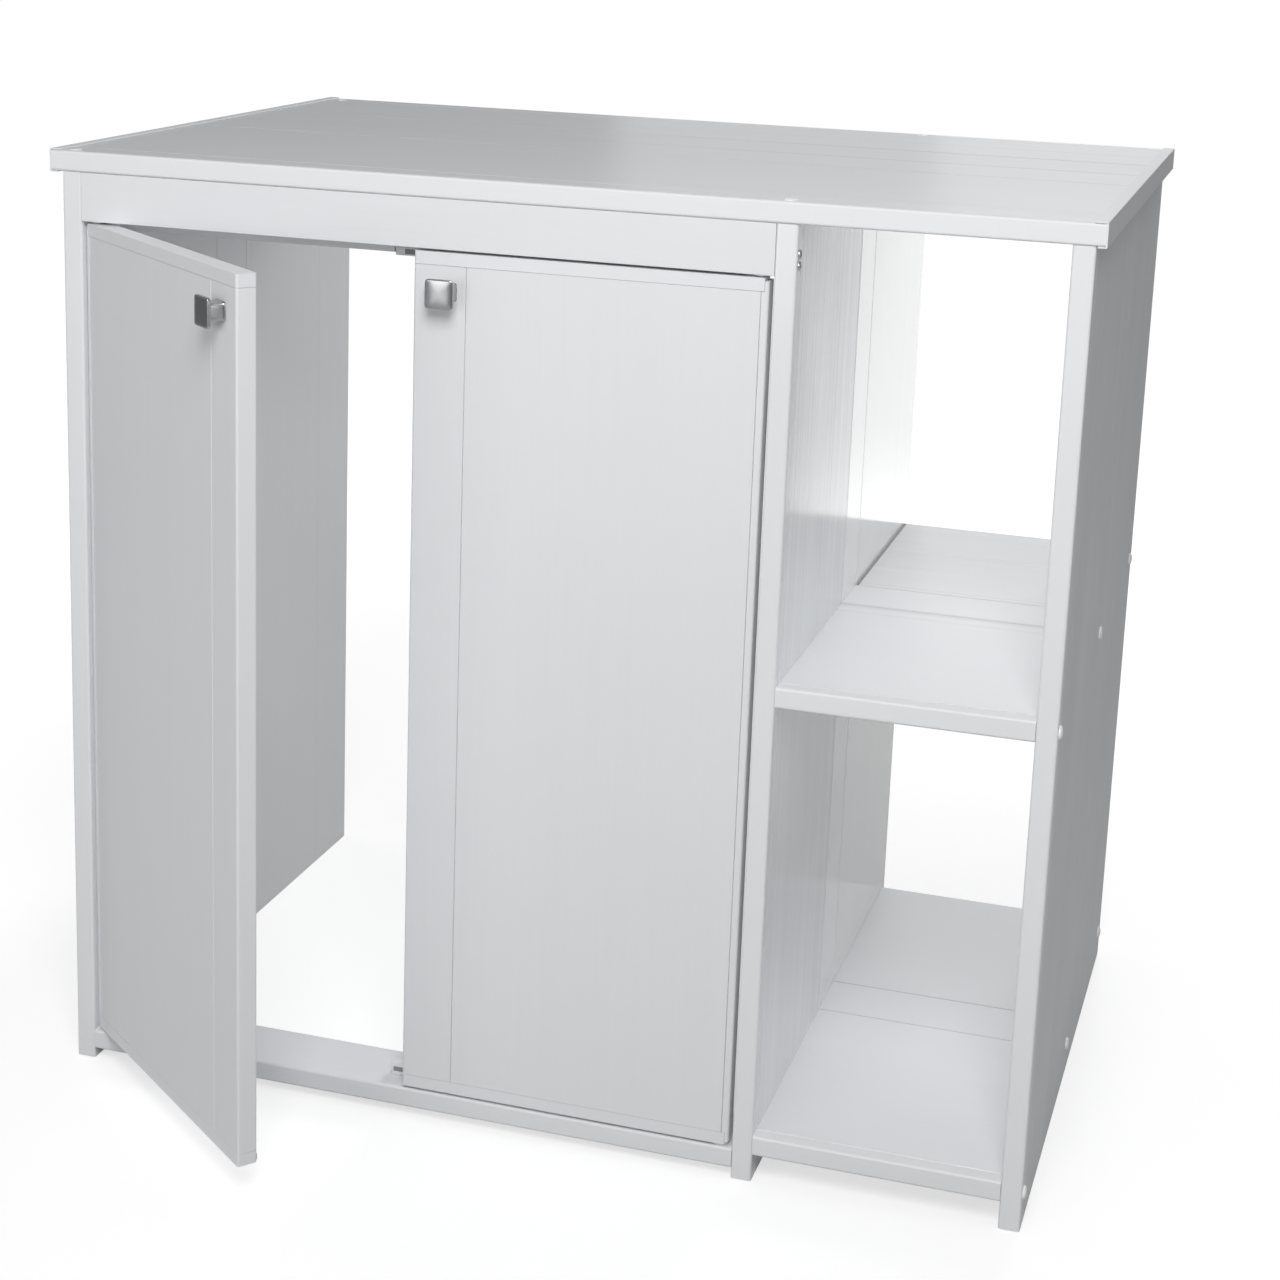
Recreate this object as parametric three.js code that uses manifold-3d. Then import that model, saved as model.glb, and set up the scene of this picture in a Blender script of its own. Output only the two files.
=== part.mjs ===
import * as THREE from 'three';
import { mergeVertices } from 'three/addons/utils/BufferGeometryUtils.js';
import Module from 'manifold-3d';

// A washing machine cabinet of hollow white plastic profiles, with two hinged doors and an open
// side bay with two shelves. Millimetres, +Z up, the doors face -Y.
// It is laid out with x = 0 at the left panel's outer face, y = 0 at the panels' front edges and
// z = 0 at the floor. The finished group is moved so that its origin is its bottom centre.

const wasm = await Module();
wasm.setup();

// Main sizes
const bayWidth = 680; // clear width behind the doors
const sideBayWidth = 236; // clear width of the open side bay
const panelHeight = 919;
const midShelfHeight = 475.5; // floor to the underside of the middle shelf
const bottomShelfHeight = 27; // floor to the underside of the bottom shelf
const railFloorGap = 10; // floor to the underside of the bottom rail
const restOpening = THREE.MathUtils.degToRad(39); // how far the left door stands open

// Hollow profiles, named by their width
const boardThickness = 20;
const boardWidth = 274;
const stripWidth = 72;
const edgeWidth = 16;
const skin = 1.8;
const rib = 1.4;
const cellPitch = 38;
const smallestCell = 6;
const grooveDepth = 6;
const grooveWidth = 6;
const slip = 0.3; // clearance of what slides into something
const seam = 0.3; // open joint between two boards
const seamChamfer = 0.6;
const edgeRadius = 2.5;
const cornerRadius = 0.8;
const channelRadius = 2.3; // round channel that a screw bites in
const channelWeb = 9;
const overrun = 1; // how far a cut runs past the face that it opens

// Worktop
const worktopLeftOverhang = 12;
const worktopRightOverhang = 9;
const worktopFrontOverhang = 2;
const worktopBackOverhang = 11;
const worktopFrontEdgeWidth = 34;
const worktopFrontBoardWidth = 256;
const worktopMiddleBoardWidth = 190;
const worktopRearEdgeWidth = 26;
const endCapWall = 1.2;
const endCapWeb = 1.5;
const endCapTopFlange = 12;
const endCapBottomFlange = 8;

// Shelves
const shelfRearScrewInset = 12;

// Doors
const hingeGap = 4;
const meetingGap = 3;
const doorSetback = 0.4;
const doorTopGap = 2.3;
const doorBottomGap = 3;
const stileWidth = 51;
const hingeEdgeWidth = 7;
const doorCapHeight = 12;
const doorCapSetback = 3.5; // width of the hinge edge's lip beside the caps
const hingeLipDrop = 3; // how far the lip ends short of the caps' outer faces
const capPlugDepth = 8;
const pinInset = 9; // hinge pin's axis to the door's hinge edge
const pinRadius = 3;
const pinPlay = 0.4; // clearance of the pin in its bushes
const pinSeatDepth = 9;
const pinEngagement = 6;

// Rails, door stop and hinge bushes
const topRailHeight = 47;
const stopGap = 0.3; // closed door to the stop strip
const stopThickness = 4;
const stopHeight = 40;
const stopOverlap = 6.5; // how far the stop strip hangs below the doors' top edge
const stopInset = 30; // free length at each end, where the doors' hinge edges swing
const railScrewRise = 9.5;
const railScrewSpacing = 10;
const bottomRailScrewInset = 24;
const bushSleeveRadius = 4.4;
const bushSleeveDepth = 5;
const bushFlangeRadius = 7.5;
const bushFlangeThickness = 1.2;

// Fasteners
const screwRadius = 2;
const screwHeadRadius = 4.4;
const screwHeadHeight = 2;
const knobScrewGrip = 8;
const recessWidth = 1;
const recessLength = 4.4;
const recessDepth = 1;

// Catches on the rails and strike plates on the doors
const topCatchWidth = 52;
const bottomCatchWidth = 38;
const catchDepth = 16;
const catchNoseHeight = 8;
const catchNoseDrop = 1.5; // doors' top edge to the top of the upper catch's nose
const catchBlockHeight = 14;
const catchBackHeight = 22;
const catchBackThickness = 3;
const catchGap = 0.5; // closed strike plate to the catch's face
const magnetWidth = 33;
const magnetHeight = 5;
const magnetDepth = 3;
const strikeWidth = 14;
const strikeHeight = 6;
const strikeThickness = 1;
const strikeInset = 10; // door's free edge to the middle of its strike plates

// Knob
const knobSize = 27.5;
const knobProjection = 20;
const knobPlateThickness = 5.5;
const knobStemWidth = 20;
const knobStemHeight = 17;
const knobFoot = 4; // flared part of the stem at the door
const knobFootWidth = 22.5;
const knobFootHeight = 18.5;
const knobCorner = 3.5;
const knobEdgeInset = 31.5; // door's free edge to the knob's middle
const knobTopInset = 36; // door's top edge to the knob's middle

// Sizes that follow from the ones above
const shelfDepth = edgeWidth + boardWidth + stripWidth + boardWidth;
const panelDepth = shelfDepth + edgeWidth;
const partitionX = boardThickness + bayWidth;
const rightPanelX = partitionX + boardThickness + sideBayWidth;
const bodyWidth = rightPanelX + boardThickness;
const doorBackY = doorSetback + boardThickness;
const topRailDepth = doorBackY + stopGap;
const topRailBottom = panelHeight - topRailHeight;
const bottomRailTop = railFloorGap + boardThickness;
const doorTop = topRailBottom - doorTopGap;
const doorBottom = bottomRailTop + doorBottomGap;
const doorWidth = (bayWidth - 2 * hingeGap - meetingGap) / 2;
const pinY = doorSetback + boardThickness / 2;
const stopBottom = doorTop - stopOverlap;
const stopBackY = topRailDepth + stopThickness;
const strikeFaceY = doorBackY + slip + strikeThickness;
const catchFrontY = strikeFaceY + catchGap;
const meetingX = boardThickness + bayWidth / 2;
const noseTop = doorTop - catchNoseDrop;
const frontScrewDepth = edgeWidth / 2;
const innerScrewDepths = [edgeWidth + boardWidth + stripWidth / 2, shelfDepth - shelfRearScrewInset];
const worktopScrewDepths = [frontScrewDepth, panelDepth - edgeWidth / 2];
const railScrewHeights = [railScrewRise, railScrewRise + railScrewSpacing];
const bottomRailScrewDepths = [bottomRailScrewInset, stripWidth - edgeWidth];

// Materials
const whitePlastic = { color: 0xe9eaec, roughness: 0.34, metalness: 0 };
const edgePlastic = { color: 0xf0f1f2, roughness: 0.4, metalness: 0 };
const capPlastic = { color: 0xf4f4f4, roughness: 0.3, metalness: 0 };
const satinChrome = { color: 0xc9cbcd, roughness: 0.25, metalness: 1 };
const zincSteel = { color: 0xaeb1b4, roughness: 0.4, metalness: 1 };
const darkMagnet = { color: 0x3c3c3e, roughness: 0.6, metalness: 0.2 };

const X = new THREE.Vector3(1, 0, 0);
const Y = new THREE.Vector3(0, 1, 0);
const Z = new THREE.Vector3(0, 0, 1);
const minus = (direction) => direction.clone().negate();

// A profile is drawn across (its width) and through (its thickness) and runs along its length.
function turnOf(across, through, along) {
  return new THREE.Quaternion().setFromRotationMatrix(new THREE.Matrix4().makeBasis(across, through, along));
}

const uprightTurn = turnOf(Y, minus(X), Z);
const flatTurn = turnOf(Y, Z, X);
const railTurn = turnOf(Z, minus(Y), X);
const depthTurn = turnOf(minus(X), Z, Y);

function addMesh(parent, name, geometry, finish, position = [0, 0, 0], turn = null) {
  const mesh = new THREE.Mesh(geometry, new THREE.MeshStandardMaterial(finish));
  mesh.name = name;
  mesh.position.set(...position);
  if (turn) mesh.quaternion.copy(turn);
  parent.add(mesh);
  return mesh;
}

// Solids: joins and cuts

function toSolid(geometry) {
  const plain = geometry.clone();
  plain.deleteAttribute('normal');
  plain.deleteAttribute('uv');
  const merged = mergeVertices(plain);
  const index = merged.index.array;
  const triangles = [];
  for (let i = 0; i < index.length; i += 3) {
    const [a, b, c] = index.slice(i, i + 3);
    if (a !== b && b !== c && c !== a) triangles.push(a, b, c);
  }
  return new wasm.Manifold(new wasm.Mesh({
    numProp: 3,
    vertProperties: new Float32Array(merged.attributes.position.array),
    triVerts: new Uint32Array(triangles),
  }));
}

function toGeometry(solid) {
  const mesh = solid.getMesh();
  const geometry = new THREE.BufferGeometry();
  geometry.setAttribute('position', new THREE.BufferAttribute(new Float32Array(mesh.vertProperties), 3));
  geometry.setIndex(new THREE.BufferAttribute(new Uint32Array(mesh.triVerts), 1));
  geometry.computeVertexNormals();
  return geometry;
}

function cut(geometry, cutters) {
  return toGeometry(cutters.reduce((solid, cutter) => solid.subtract(toSolid(cutter)), toSolid(geometry)));
}

function join(geometry, others) {
  return toGeometry(others.reduce((solid, other) => solid.add(toSolid(other)), toSolid(geometry)));
}

function box(low, high) {
  const size = high.map((value, i) => value - low[i]);
  const centre = high.map((value, i) => (value + low[i]) / 2);
  return new THREE.BoxGeometry(...size).translate(...centre);
}

// A cylinder from one point to another, for holes.
function rod(radius, from, to) {
  const start = new THREE.Vector3(...from);
  const run = new THREE.Vector3(...to).sub(start);
  const turn = new THREE.Quaternion().setFromUnitVectors(Y, run.clone().normalize());
  const middle = start.addScaledVector(run, 0.5);
  return new THREE.CylinderGeometry(radius, radius, run.length(), 16)
    .applyQuaternion(turn)
    .translate(middle.x, middle.y, middle.z);
}

// A turned piece drawn with its axis up, set at a point with its axis along a direction.
function placed(geometry, direction, position) {
  const turn = new THREE.Quaternion().setFromUnitVectors(Y, direction);
  return geometry.clone().applyQuaternion(turn).translate(...position);
}

// Profile sections

function arc(centreU, centreV, radius, fromDegrees, toDegrees, steps) {
  return Array.from({ length: steps + 1 }, (_, i) => {
    const angle = THREE.MathUtils.degToRad(fromDegrees + ((toDegrees - fromDegrees) * i) / steps);
    return new THREE.Vector2(centreU + radius * Math.cos(angle), centreV + radius * Math.sin(angle));
  });
}

// One edge of a section, from its lower to its upper corner. The first number of each point is how
// far it stands out from the nominal edge.
function edgeOutline(kind, thickness) {
  const half = thickness / 2;
  if (kind === 'rounded' || kind === 'plain') {
    const radius = kind === 'rounded' ? edgeRadius : cornerRadius;
    const steps = kind === 'rounded' ? 4 : 2;
    return [
      ...arc(-radius, radius - half, radius, -90, 0, steps),
      ...arc(-radius, half - radius, radius, 0, 90, steps),
    ];
  }
  const inset = -seam / 2;
  const tongue = kind === 'tongue';
  const reach = tongue ? grooveDepth - slip : -grooveDepth;
  const halfSlot = tongue ? grooveWidth / 2 - slip : grooveWidth / 2;
  return [
    [inset - seamChamfer, -half],
    [inset, seamChamfer - half],
    [inset, -halfSlot],
    [reach, -halfSlot],
    [reach, halfSlot],
    [inset, halfSlot],
    [inset, half - seamChamfer],
    [inset - seamChamfer, half],
  ].map(([out, v]) => new THREE.Vector2(out, v));
}

// The hollow cells between the walls and the solid webs round the screw channels.
function cellRanges(width, start, end, channels) {
  const inner = (kind) => (kind === 'groove' ? grooveDepth + skin : kind === 'tongue' ? skin + seam : skin);
  const stops = [
    inner(start),
    ...channels.flatMap(({ u }) => [u - channelWeb / 2, u + channelWeb / 2]),
    width - inner(end),
  ];
  const ranges = [];
  for (let i = 0; i < stops.length; i += 2) {
    const length = stops[i + 1] - stops[i];
    if (length < smallestCell) continue;
    const count = Math.max(1, Math.round((length + rib) / cellPitch));
    const cell = (length - (count - 1) * rib) / count;
    for (let k = 0; k < count; k += 1) {
      const from = stops[i] + k * (cell + rib);
      ranges.push([from, from + cell]);
    }
  }
  return ranges;
}

// A profile along its length, cut by its cells, its screw channels and any other cutters.
function profile(spec, length, cutters = []) {
  const { width, thickness = boardThickness, start, end, channels = [], hollow = true } = spec;
  const right = edgeOutline(end, thickness).map((p) => new THREE.Vector2(width + p.x, p.y));
  const left = edgeOutline(start, thickness).map((p) => new THREE.Vector2(-p.x, p.y)).reverse();
  const halfCell = thickness / 2 - skin;
  const cells = hollow ? cellRanges(width, start, end, channels) : [];
  return cut(extruded(new THREE.Shape([...right, ...left]), length), [
    ...cells.map(([from, to]) => box([from, -halfCell, -overrun], [to, halfCell, length + overrun])),
    ...channels.map(({ u, v = 0 }) => rod(channelRadius, [u, v, -overrun], [u, v, length + overrun])),
    ...cutters,
  ]);
}

function extruded(shape, length) {
  return new THREE.ExtrudeGeometry(shape, { depth: length, bevelEnabled: false, steps: 1 });
}

const frontEdge = {
  width: edgeWidth,
  start: 'rounded',
  end: 'tongue',
  channels: [{ u: edgeWidth / 2 }],
  hollow: false,
};

// Lays profiles side by side across the width. Each hole is { across, along, radius }, drilled
// through the thickness of the profile that it falls in.
function addRow(parent, prefix, rows, length, turn, position, across, finish, holes = []) {
  let offset = 0;
  for (const { name, spec, finish: own } of rows) {
    const inRow = holes.filter((h) => h.across > offset && h.across < offset + spec.width);
    const cutters = inRow.map((h) => {
      const reach = boardThickness / 2 + overrun;
      const u = h.across - offset;
      return rod(h.radius, [u, -reach, h.along], [u, reach, h.along]);
    });
    const place = new THREE.Vector3(...position).addScaledVector(across, offset);
    const geometry = profile(spec, length, cutters);
    addMesh(parent, `${prefix}_${name}`, geometry, own ?? finish, place.toArray(), turn);
    offset += spec.width;
  }
}

const cabinet = new THREE.Group();

// Upright panels

function addUpright(name, x, holes) {
  const rearWidth = boardWidth + edgeWidth;
  const rearChannel = { u: rearWidth - edgeWidth / 2 };
  const rows = [
    { name: 'front_edge', spec: frontEdge, finish: edgePlastic },
    { name: 'front_board', spec: { width: boardWidth, start: 'groove', end: 'groove' } },
    { name: 'joining_strip', spec: { width: stripWidth, start: 'tongue', end: 'tongue' } },
    {
      name: 'rear_board',
      spec: { width: rearWidth, start: 'groove', end: 'rounded', channels: [rearChannel] },
    },
  ];
  const position = [x + boardThickness / 2, 0, 0];
  addRow(cabinet, name, rows, panelHeight, uprightTurn, position, Y, whitePlastic, holes);
}

const screwHole = screwRadius + slip;
const shelfScrewHeights = [midShelfHeight, bottomShelfHeight].map((z) => z + boardThickness / 2);
const railMiddle = railFloorGap + boardThickness / 2;
const toHole = (radius) => ([across, along]) => ({ across, along, radius });
const innerShelfHoles = shelfScrewHeights.flatMap((z) => innerScrewDepths.map((y) => [y, z]));
const frontShelfHoles = shelfScrewHeights.map((z) => [frontScrewDepth, z]);
const railHoles = [
  ...railScrewHeights.map((rise) => [frontScrewDepth, topRailBottom + rise]),
  ...bottomRailScrewDepths.map((y) => [y, railMiddle]),
];

addUpright('left_panel', 0, railHoles.map(toHole(screwHole)));
addUpright('partition', partitionX, [...railHoles, ...innerShelfHoles].map(toHole(screwHole)));
addUpright('right_panel', rightPanelX, [...frontShelfHoles, ...innerShelfHoles].map(toHole(screwHole)));

// Shelves of the side bay

function addShelf(name, underside) {
  const rearChannel = { u: boardWidth - shelfRearScrewInset };
  const rows = [
    { name: 'front_edge', spec: frontEdge, finish: edgePlastic },
    { name: 'front_board', spec: { width: boardWidth, start: 'groove', end: 'groove' } },
    {
      name: 'joining_strip',
      spec: { width: stripWidth, start: 'tongue', end: 'tongue', channels: [{ u: stripWidth / 2 }] },
    },
    {
      name: 'rear_board',
      spec: { width: boardWidth, start: 'groove', end: 'plain', channels: [rearChannel] },
    },
  ];
  const position = [partitionX + boardThickness, 0, underside + boardThickness / 2];
  addRow(cabinet, name, rows, sideBayWidth, flatTurn, position, Y, whitePlastic);
}

addShelf('mid_shelf', midShelfHeight);
addShelf('bottom_shelf', bottomShelfHeight);

// Worktop

const worktopDepth = worktopFrontOverhang + panelDepth + worktopBackOverhang;
const worktopLeft = -worktopLeftOverhang;
const worktopRight = bodyWidth + worktopRightOverhang;
const worktopTop = panelHeight + boardThickness;
const screwedPanelCentres = [boardThickness / 2, partitionX + boardThickness / 2];

function addWorktop() {
  const left = worktopLeft + endCapWeb;
  const holes = worktopScrewDepths.flatMap((depth) => screwedPanelCentres.map((x) => ({
    across: depth + worktopFrontOverhang,
    along: x - left,
    radius: screwHole,
  })));
  const fixedWidths = worktopFrontEdgeWidth + worktopFrontBoardWidth + worktopMiddleBoardWidth
    + worktopRearEdgeWidth;
  const rows = [
    {
      name: 'front_edge',
      spec: { width: worktopFrontEdgeWidth, start: 'rounded', end: 'tongue' },
      finish: edgePlastic,
    },
    { name: 'front_board', spec: { width: worktopFrontBoardWidth, start: 'groove', end: 'groove' } },
    { name: 'middle_board', spec: { width: worktopMiddleBoardWidth, start: 'tongue', end: 'tongue' } },
    { name: 'rear_board', spec: { width: worktopDepth - fixedWidths, start: 'groove', end: 'groove' } },
    {
      name: 'rear_edge',
      spec: { width: worktopRearEdgeWidth, start: 'tongue', end: 'rounded' },
      finish: edgePlastic,
    },
  ];
  const length = worktopRight - worktopLeft - 2 * endCapWeb;
  const position = [left, -worktopFrontOverhang, panelHeight + boardThickness / 2];
  addRow(cabinet, 'worktop', rows, length, flatTurn, position, Y, whitePlastic, holes);
}

// A channel that slides over one end of the worktop's boards.
function endCapSection() {
  const half = boardThickness / 2;
  const outer = half + endCapWall;
  return new THREE.Shape([
    ...arc(cornerRadius, cornerRadius - outer, cornerRadius, 180, 270, 3),
    ...arc(endCapBottomFlange - endCapWall / 2, -half - endCapWall / 2, endCapWall / 2, -90, 90, 4),
    new THREE.Vector2(endCapWeb, -half),
    new THREE.Vector2(endCapWeb, half),
    ...arc(endCapTopFlange - endCapWall / 2, half + endCapWall / 2, endCapWall / 2, -90, 90, 4),
    ...arc(cornerRadius, outer - cornerRadius, cornerRadius, 90, 180, 3),
  ]);
}

function addEndCaps() {
  const height = panelHeight + boardThickness / 2;
  const geometry = extruded(endCapSection(), worktopDepth);
  const leftTurn = turnOf(X, Z, minus(Y));
  const leftPlace = [worktopLeft, worktopDepth - worktopFrontOverhang, height];
  const rightPlace = [worktopRight, -worktopFrontOverhang, height];
  addMesh(cabinet, 'worktop_left_end_cap', geometry, capPlastic, leftPlace, leftTurn);
  addMesh(cabinet, 'worktop_right_end_cap', geometry, capPlastic, rightPlace, depthTurn);
}

addWorktop();
addEndCaps();

// Rails between the left panel and the partition

const leftPinX = boardThickness + hingeGap + pinInset;
const rightPinX = partitionX - hingeGap - pinInset;

function addTopRail() {
  const channelOffset = topRailDepth / 2 - frontScrewDepth;
  const spec = {
    width: topRailHeight,
    thickness: topRailDepth,
    start: 'plain',
    end: 'plain',
    channels: railScrewHeights.map((u) => ({ u, v: channelOffset })),
  };
  const through = topRailDepth / 2 - pinY;
  const wells = [leftPinX, rightPinX].flatMap((x) => {
    const along = x - boardThickness;
    return [
      rod(bushSleeveRadius + slip, [-overrun, through, along], [bushSleeveDepth + slip, through, along]),
      rod(pinRadius + slip, [0, through, along], [pinEngagement + slip, through, along]),
    ];
  });
  const place = [boardThickness, topRailDepth / 2, topRailBottom];
  addMesh(cabinet, 'top_rail', profile(spec, bayWidth, wells), whitePlastic, place, railTurn);
}

function addBottomRail() {
  const spec = {
    width: stripWidth,
    start: 'rounded',
    end: 'plain',
    channels: bottomRailScrewDepths.map((u) => ({ u })),
  };
  const top = boardThickness / 2;
  const wells = [leftPinX, rightPinX].flatMap((x) => {
    const along = x - boardThickness;
    return [
      rod(bushSleeveRadius + slip, [pinY, top + overrun, along], [pinY, top - bushSleeveDepth - slip, along]),
      rod(pinRadius + slip, [pinY, top, along], [pinY, top - pinEngagement - slip, along]),
    ];
  });
  const place = [boardThickness, 0, railMiddle];
  addMesh(cabinet, 'bottom_rail', profile(spec, bayWidth, wells), whitePlastic, place, flatTurn);
}

// The strip hangs behind the top rail and has a notch for the upper catch's nose.
function addStopStrip() {
  const length = bayWidth - 2 * stopInset;
  const spec = { width: stopHeight, thickness: stopThickness, start: 'plain', end: 'plain', hollow: false };
  const halfNotch = topCatchWidth / 2 + slip;
  const notch = box(
    [-overrun, -stopThickness, length / 2 - halfNotch],
    [noseTop + slip - stopBottom, stopThickness, length / 2 + halfNotch],
  );
  const place = [boardThickness + stopInset, topRailDepth + stopThickness / 2, stopBottom];
  addMesh(cabinet, 'door_stop_strip', profile(spec, length, [notch]), edgePlastic, place, railTurn);
}

addTopRail();
addBottomRail();
addStopStrip();

// Hinge bushes, one in each rail at each door. The lower ones carry the doors.

function bush(flangeThickness) {
  const bore = pinRadius + pinPlay;
  const outline = [
    [bore, -bushSleeveDepth],
    [bushSleeveRadius, -bushSleeveDepth],
    [bushSleeveRadius, 0],
    [bushFlangeRadius, 0],
    [bushFlangeRadius, flangeThickness],
    [bore, flangeThickness],
    [bore, -bushSleeveDepth],
  ];
  return new THREE.LatheGeometry(outline.map((p) => new THREE.Vector2(...p)), 24);
}

function addBushes(name, x) {
  const top = placed(bush(bushFlangeThickness), minus(Z), [x, pinY, topRailBottom]);
  const bottom = placed(bush(doorBottomGap - slip), Z, [x, pinY, bottomRailTop]);
  addMesh(cabinet, `${name}_top_bush`, top, capPlastic);
  addMesh(cabinet, `${name}_bottom_bush`, bottom, capPlastic);
}

addBushes('left_hinge', leftPinX);
addBushes('right_hinge', rightPinX);

// Magnetic catches where the doors meet

const topMagnetHeight = noseTop - catchNoseHeight / 2;
const bottomMagnetHeight = bottomRailTop + catchBlockHeight / 2;

function magnetBox(height, clearance, front) {
  const halfWidth = magnetWidth / 2 + clearance;
  const halfHeight = magnetHeight / 2 + clearance;
  return box(
    [meetingX - halfWidth, front, height - halfHeight],
    [meetingX + halfWidth, catchFrontY + magnetDepth + clearance, height + halfHeight],
  );
}

function addCatches() {
  const across = (width) => [meetingX - width / 2, meetingX + width / 2];
  const [topLeft, topRight] = across(topCatchWidth);
  const [bottomLeft, bottomRight] = across(bottomCatchWidth);
  const back = catchFrontY + catchDepth;
  const nose = box([topLeft, catchFrontY, noseTop - catchNoseHeight], [topRight, back, noseTop]);
  const backPlate = box(
    [topLeft, stopBackY, noseTop - catchNoseHeight / 2],
    [topRight, stopBackY + catchBackThickness, noseTop + catchBackHeight],
  );
  const block = box(
    [bottomLeft, catchFrontY, bottomRailTop],
    [bottomRight, back, bottomRailTop + catchBlockHeight],
  );
  const catches = [
    { part: 'top', body: join(nose, [backPlate]), height: topMagnetHeight },
    { part: 'bottom', body: block, height: bottomMagnetHeight },
  ];
  for (const { part, body, height } of catches) {
    const pocket = magnetBox(height, slip, catchFrontY - overrun);
    addMesh(cabinet, `${part}_catch`, cut(body, [pocket]), capPlastic);
    addMesh(cabinet, `${part}_magnet`, magnetBox(height, 0, catchFrontY), darkMagnet);
  }
}

addCatches();

// Knob: rounded rings from the crowned front to the flared foot at the door. Each ring is a depth
// from the door's face with a width and a height.

function roundedRing(depth, width, height) {
  const halfWidth = width / 2;
  const halfHeight = height / 2;
  const radius = Math.min(knobCorner, halfWidth / 2, halfHeight / 2);
  const corners = [[1, 1, 0], [-1, 1, 90], [-1, -1, 180], [1, -1, 270]];
  return corners.flatMap(([sideX, sideZ, from]) =>
    arc(sideX * (halfWidth - radius), sideZ * (halfHeight - radius), radius, from, from + 90, 4)
      .map((p) => [p.x, -depth, p.y]));
}

function loft(rings, frontDepth) {
  const count = rings[0].length;
  const points = [...rings.flat(), [0, -frontDepth, 0], [0, rings.at(-1)[0][1], 0]];
  const frontCentre = points.length - 2;
  const backCentre = points.length - 1;
  const faces = [];
  for (let k = 0; k < count; k += 1) {
    const next = (k + 1) % count;
    const last = (rings.length - 1) * count;
    faces.push(frontCentre, k, next);
    for (let r = 0; r < rings.length - 1; r += 1) {
      const near = r * count;
      const far = near + count;
      faces.push(near + k, far + k, far + next, near + k, far + next, near + next);
    }
    faces.push(backCentre, last + next, last + k);
  }
  const geometry = new THREE.BufferGeometry();
  geometry.setAttribute('position', new THREE.Float32BufferAttribute(points.flat(), 3));
  geometry.setIndex(faces);
  geometry.computeVertexNormals();
  return geometry;
}

function knobGeometry() {
  const plateBack = knobProjection - knobPlateThickness;
  const crownShares = [[0.99, 0.4], [0.94, 0.74], [0.8, 0.92], [0.6, 1], [0.2, 1], [0.04, 0.96]];
  const plate = crownShares.map(([depthShare, sizeShare]) => roundedRing(
    plateBack + knobPlateThickness * depthShare,
    knobSize * sizeShare,
    knobSize * sizeShare,
  ));
  const footShares = [[1, 0], [0.5, 0.3], [0.2, 0.65], [0, 1]];
  const foot = footShares.map(([depthShare, flareShare]) => roundedRing(
    knobFoot * depthShare,
    THREE.MathUtils.lerp(knobStemWidth, knobFootWidth, flareShare),
    THREE.MathUtils.lerp(knobStemHeight, knobFootHeight, flareShare),
  ));
  const stem = roundedRing(plateBack, knobStemWidth, knobStemHeight);
  const solid = loft([...plate, stem, ...foot], knobProjection);
  return cut(solid, [rod(screwHole, [0, overrun, 0], [0, -knobScrewGrip - slip, 0])]);
}

// A pan-head screw with a cross recess. Its head starts at zero and its thread runs down.
function knobScrew() {
  const length = boardThickness + knobScrewGrip;
  const outline = [
    [0, -length],
    [screwRadius / 2, -length],
    [screwRadius, 2 * screwRadius - length],
    [screwRadius, 0],
    [screwHeadRadius, 0],
    [screwHeadRadius, screwHeadHeight / 2],
    [screwHeadRadius / 2, screwHeadHeight],
    [0, screwHeadHeight],
  ];
  const low = screwHeadHeight - recessDepth;
  const high = screwHeadHeight + overrun;
  const long = recessLength / 2;
  const narrow = recessWidth / 2;
  return cut(new THREE.LatheGeometry(outline.map((p) => new THREE.Vector2(...p)), 16), [
    box([-long, low, -narrow], [long, high, narrow]),
    box([-narrow, low, -long], [narrow, high, long]),
  ]);
}

// Doors. Each is built closed round its hinge pin's axis: side is 1 for the left door, whose free
// edge points to +X, and -1 for the right one.

function addDoor(name, side, pinX, opening) {
  const door = new THREE.Group();
  door.position.set(pinX, pinY, 0);
  door.rotation.z = -side * opening;
  cabinet.add(door);

  const free = doorWidth - pinInset;
  const boardFrom = hingeEdgeWidth - pinInset;
  const boardTo = free - stileWidth;
  const boardBottom = doorBottom + doorCapHeight + seam;
  const boardLength = doorTop - doorBottom - 2 * (doorCapHeight + seam);
  const knobAcross = free - knobEdgeInset;
  const knobHeight = doorTop - knobTopInset;

  addHingeEdge(door, name, side, boardFrom, boardLength);
  const specs = [
    { part: 'board', from: boardFrom, to: boardTo, ends: ['groove', 'groove'] },
    { part: 'stile', from: boardTo, to: free, ends: ['tongue', 'rounded'] },
  ];
  const plugs = [];
  for (const { part, from, to, ends } of specs) {
    const [start, end] = side > 0 ? ends : [...ends].reverse();
    const spec = { width: to - from, start, end };
    const place = Math.min(side * from, side * to);
    const reach = boardThickness / 2 + overrun;
    const u = side * knobAcross - place;
    const w = knobHeight - boardBottom;
    const holes = part === 'stile' ? [rod(screwHole, [u, -reach, w], [u, reach, w])] : [];
    const geometry = profile(spec, boardLength, holes);
    const finish = part === 'board' ? whitePlastic : edgePlastic;
    addMesh(door, `${name}_${part}`, geometry, finish, [place, 0, boardBottom]);
    plugs.push(...cellRanges(spec.width, start, end, []).map(([a, b]) => [place + a, place + b]));
  }
  addDoorCaps(door, name, side, free, plugs);
  addDoorFittings(door, name, side, free, knobAcross, knobHeight);
}

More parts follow.
